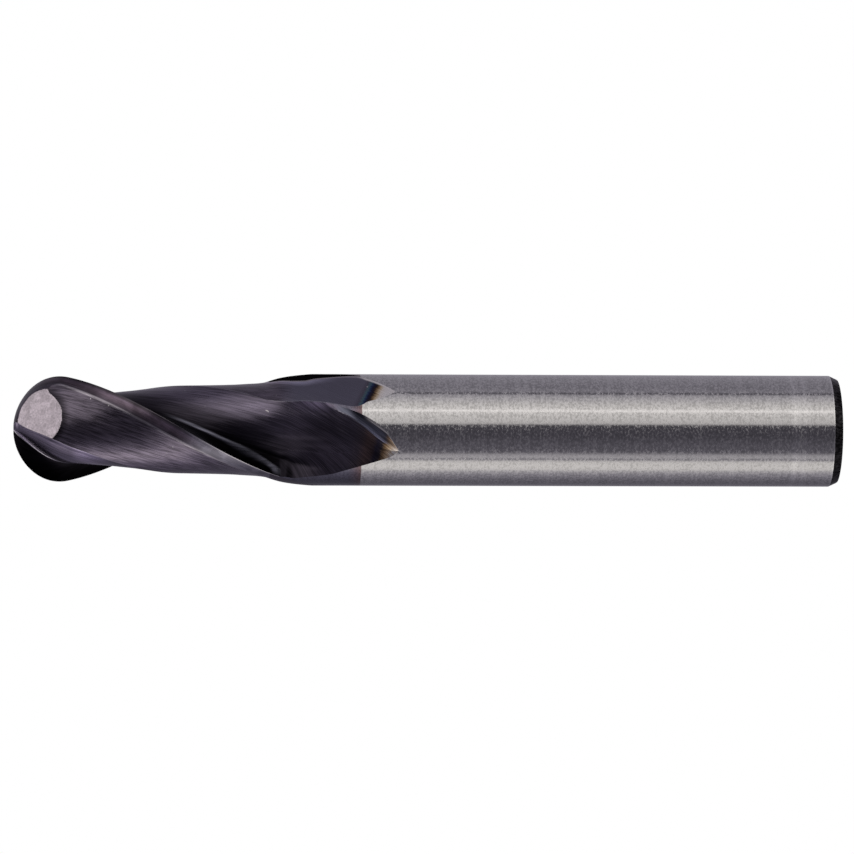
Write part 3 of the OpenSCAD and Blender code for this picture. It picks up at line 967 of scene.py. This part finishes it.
def blank_material():
    """The coated outside of the blank, up to the line where the mask covered it."""
    n = Nodes(bpy.data.materials.new("coated_blank"))
    grain, colour_grain = shank_grain(n)
    station = n.attribute("station")
    wander = n.math("MULTIPLY", n.math("SUBTRACT", n.noise(n.position(), 0.8), 0.5), 0.1)
    at = n.span(n.math("ADD", station, wander), COAT_END - 1.2, COAT_END + 0.3,
                smooth_steps=False)
    colour = n.ramp(at, [
        (0.0, (0.14, 0.135, 0.175)), (0.3, (0.14, 0.12, 0.15)), (0.6, (0.15, 0.11, 0.125)),
        (0.76, (0.18, 0.125, 0.125)), (0.79, BARE), (1.0, BARE)])
    return ground_finish(n, shaded(n, colour, colour_grain), grain)


def facet_material():
    """The flat facet: an even, slightly mottled ground face, painted far paler than the coating as
    a painted reflection.
    """
    n = Nodes(bpy.data.materials.new("coated_facet"))
    spots = n.noise(n.position(), 5.5, 4.0, 0.65)
    marks = n.noise(n.stretched(3.0, 3.0, 26.0), 1.0, 2.0)
    blotches = n.noise(n.position(), 1.6, 2.0, 0.6)
    shade = n.math("MULTIPLY", n.span(spots, 0.3, 0.7, 0.72, 1.16),
                   n.span(blotches, 0.35, 0.65, 0.8, 1.08))
    # Painted reflection: the facet's pale colour stands in for the light it reflects
    colour = shaded(n, FACET_PAINTED_LIGHT, shade)
    return n.finish(colour, n.span(spots, 0.3, 0.7, 0.38, 0.46), marks, 0.0015)


def radial_tangent(n):
    return n.add("ShaderNodeTangent", direction_type="RADIAL", axis="X")


def shank_grain(n):
    """Fine marks that run round the tool, and the shade they give."""
    fine = n.noise(n.stretched(6.2, 4.2, 4.2), 1.0, 2.0, 0.6)
    broad = n.noise(n.stretched(3.0, 0.12, 0.12), 1.0, 2.0)
    both = n.math("ADD", n.math("MULTIPLY", fine, 0.8), n.math("MULTIPLY", broad, 0.2))
    return both, n.span(both, 0.36, 0.64, 0.76, 1.2)


def ground_finish(n, colour, grain):
    """Ground carbide: sharp round the tool, with pits that scatter light every way."""
    pits = n.span(grain, 0.48, 0.63)
    return n.finish(colour, n.span(pits, 0, 1, 0.21, 0.38), grain, 0.0008,
                    n.span(pits, 0, 1, 1.0, 0.5), radial_tangent(n))


def bare_carbide():
    """Cylindrically ground carbide: grain round the shank and faint lighter rings."""
    n = Nodes(bpy.data.materials.new("bare_carbide"))
    grain, shade = shank_grain(n)
    along = n.axes(n.position())[0]
    rings = [(-4.3, 0.5, 0.16), (-3.4, 0.3, 0.12), (-1.9, 0.2, 0.06), (-0.79, 0.08, 0.5)]
    for at, width, gain in rings:
        away = n.math("ABSOLUTE", n.math("SUBTRACT", along, at))
        shade = n.math("ADD", shade, n.span(away, width, 0.0, 0.0, gain))
    return ground_finish(n, shaded(n, BARE, shade), grain)


def chamfer_material():
    """The rear chamfer, with coarser marks from the wheel that cut it."""
    n = Nodes(bpy.data.materials.new("chamfer_carbide"))
    grain, shade = shank_grain(n)
    lines = n.noise(n.stretched(0.5, 5.0, 5.0), 1.0, 2.0)
    colour = shaded(n, CHAMFER, n.math("MULTIPLY", shade, n.span(lines, 0.35, 0.7, 0.4, 1.9)))
    return n.finish(colour, n.span(grain, 0.3, 0.7, 0.3, 0.42), grain, 0.001)


def end_material():
    """The rear end face: faint arcs from the cut-off wheel."""
    n = Nodes(bpy.data.materials.new("end_carbide"))
    marks = n.noise(n.stretched(1.0, 7.0, 0.6), 1.0, 3.0, 0.6)
    colour = shaded(n, BARE, n.span(marks, 0.3, 0.7, 0.85, 1.08))
    return n.finish(colour, n.span(marks, 0.3, 0.7, 0.5, 0.62), marks, 0.0012, metallic=0.3)


def web_material():
    """Sintered carbide inside the tool: fine even grain."""
    n = Nodes(bpy.data.materials.new("carbide_web"))
    grain = n.noise(n.position(), 12.0, 3.0, 0.6)
    colour = shaded(n, INSIDE, n.span(grain, 0.3, 0.7, 0.88, 1.08))
    return n.finish(colour, n.span(grain, 0.3, 0.7, 0.42, 0.52), grain, 0.001)


def cutting_materials(web):
    """One material per slot number of a cutting piece."""
    return [
        land_material(),
        coated("coated_relief", 7, 5.5, 0.32, 0.3, 0.0035, 0.26, 0.6, paint_relief, 0.88),
        coated("coated_flute", 13, 4.6, 0.2, 0.25, 0.003, 0.27, 0.42, paint_flute),
        blank_material(),
        facet_material(),
        web,
        crescent_material(),
    ]


# ---------------------------------------------------------------- stage and light

TABLE, TABLE_GLOW = (0.86, 0.86, 0.86), 0.42


def floor_material():
    n = Nodes(bpy.data.materials.new("studio_floor"))
    soft = n.noise(n.position(), 0.02, 2.0)
    colour = shaded(n, TABLE, n.span(soft, 0.3, 0.7, 0.97, 1.0))
    return n.finish(colour, n.span(soft, 0.3, 0.7, 0.85, 0.95), None, 0.0, metallic=0.0,
                    glow=TABLE_GLOW)


def add_floor():
    """A pale table top, low enough to stay out of the level view."""
    low, x_half, near, far = -0.12, 0.4, -0.058, 0.4
    middle = TIP_X / 2 * MM
    left, right = middle - x_half, middle + x_half
    mesh = bpy.data.meshes.new("studio_floor")
    mesh.from_pydata([(left, near, low), (right, near, low), (right, far, low),
                      (left, far, low)], [], [(0, 1, 2, 3)])
    mesh.materials.append(floor_material())
    floor = bpy.data.objects.new("studio_floor", mesh)
    bpy.context.scene.collection.objects.link(floor)
    floor.visible_glossy = False


# Brightness round the tool's axis, by angle from level in front, up and over
SURROUND = [
    (-180, 0.24), (-142, 0.14), (-126, 0.18), (-114, 0.28), (-103, 0.42), (-94, 0.66),
    (-88, 1.04), (-70, 1.05), (-66, 0.81), (-64, 0.3), (-62, 0.3), (-59, 0.66), (-54, 0.62),
    (-46, 0.17), (-28, 0.145), (-12, 0.1), (11.9, 0.095), (13.3, 0.86), (30, 0.92),
    (38, 0.99), (40, 1.65), (42.5, 1.65), (45, 1.04), (54, 0.9), (68, 0.68), (80, 0.5),
    (81.5, 0.12), (84, 0.12), (87.5, 0.36), (101, 0.28), (130, 0.32), (180, 0.34),
]
DIM_TINT, BRIGHT_TINT = (1.0, 0.935, 1.18), (1.025, 0.985, 0.97)
# How bright the room is past the shank's rear end, as a share of the rest
REAR_DIM = 0.12


def surround_colour(level, brightest):
    """Dim parts of the room are cool and bright ones a little warm."""
    warm = min(1, level / 0.9)
    tint = [mix(dim, bright, warm) for dim, bright in zip(DIM_TINT, BRIGHT_TINT)]
    return [level / brightest * share for share in tint]


def add_surround():
    """Soft boxes above and below the tool and a dark room in front, as one sky."""
    world = bpy.data.worlds.new("studio")
    bpy.context.scene.world = world
    n = Nodes(world)
    along, depth, height = n.axes(n.add("ShaderNodeTexCoord", output="Generated"))
    angle = n.math("ARCTAN2", height, n.math("MULTIPLY", depth, -1))
    around = n.add("ShaderNodeMath", {0: angle, 1: 1 / (2 * math.pi), 2: 0.5},
                   operation="MULTIPLY_ADD")
    brightest = max(level for _, level in SURROUND)
    colour = n.ramp(around, [((degrees + 180) / 360, surround_colour(level, brightest))
                             for degrees, level in SURROUND])
    strength = n.span(along, 0.2, 0.6, brightest, REAR_DIM * brightest)
    lit = n.add("ShaderNodeBackground", {"Color": colour, "Strength": strength})
    seen = n.add("ShaderNodeBackground", {"Color": (1, 1, 1, 1)})
    to_camera = n.add("ShaderNodeLightPath", output="Is Camera Ray")
    either = n.add("ShaderNodeMixShader", {0: to_camera, 1: lit, 2: seen})
    out = n.tree.nodes.new("ShaderNodeOutputWorld")
    n.set(out.inputs["Surface"], either)


def add_camera():
    """Level with the tool, a long lens, the tip a little nearer than the shank."""
    data = bpy.data.cameras.new("camera")
    camera = bpy.data.objects.new("camera", data)
    bpy.context.scene.collection.objects.link(camera)
    yaw, roll = math.radians(3.6), math.radians(0.165)
    distance, aim = 0.479, Vector((-0.03697, 0, 0.000282))
    camera.location = aim + distance * Vector((-math.sin(yaw), -math.cos(yaw), 0))
    facing = (aim - camera.location).to_track_quat("-Z", "Y")
    camera.rotation_mode = "QUATERNION"
    data.sensor_width, data.lens = 36, 225
    bpy.context.scene.camera = camera
    camera.rotation_quaternion = facing @ Quaternion((0, 0, 1), roll)


# ---------------------------------------------------------------- the tool

def build():
    bpy.context.scene.view_settings.view_transform = "Standard"
    web = web_material()
    cutting = cutting_materials(web)
    cuts = [
        ("ball_tooth_a", ball_stations(), (0,), "ball_coating"),
        ("ball_tooth_b", ball_stations(), (180,), "ball_coating"),
        ("flute_tooth_a", spaced(BALL_END, FLUTE_L, FLUTE_STEP), (0,), "flute_coating"),
        ("flute_tooth_b", spaced(BALL_END, FLUTE_L, FLUTE_STEP), (180,), "flute_coating"),
        ("runout_neck", spaced(FLUTE_L, NECK_END, RUNOUT_STEP), (0, 180), "runout_coating"),
    ]
    made = [(cutting_piece(node + "_ground", stations, turns, cutting), node, slot)
            for node, stations, turns, slot in cuts]
    turned = [bare_carbide(), chamfer_material(), end_material()]
    shank = lathe("shank_ground", shank_outline(), SHANK_SIDES, turned)
    made.append((shank, "shank", "bare_carbide"))
    for piece, node, slot in made:
        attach(piece, "root")
        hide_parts(node)
    for name in ("flute_web", "ball_web"):
        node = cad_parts[name]
        node.data.materials.clear()
        node.data.materials.append(web)


build()
add_floor()
add_surround()
add_camera()
bpy.context.view_layer.update()
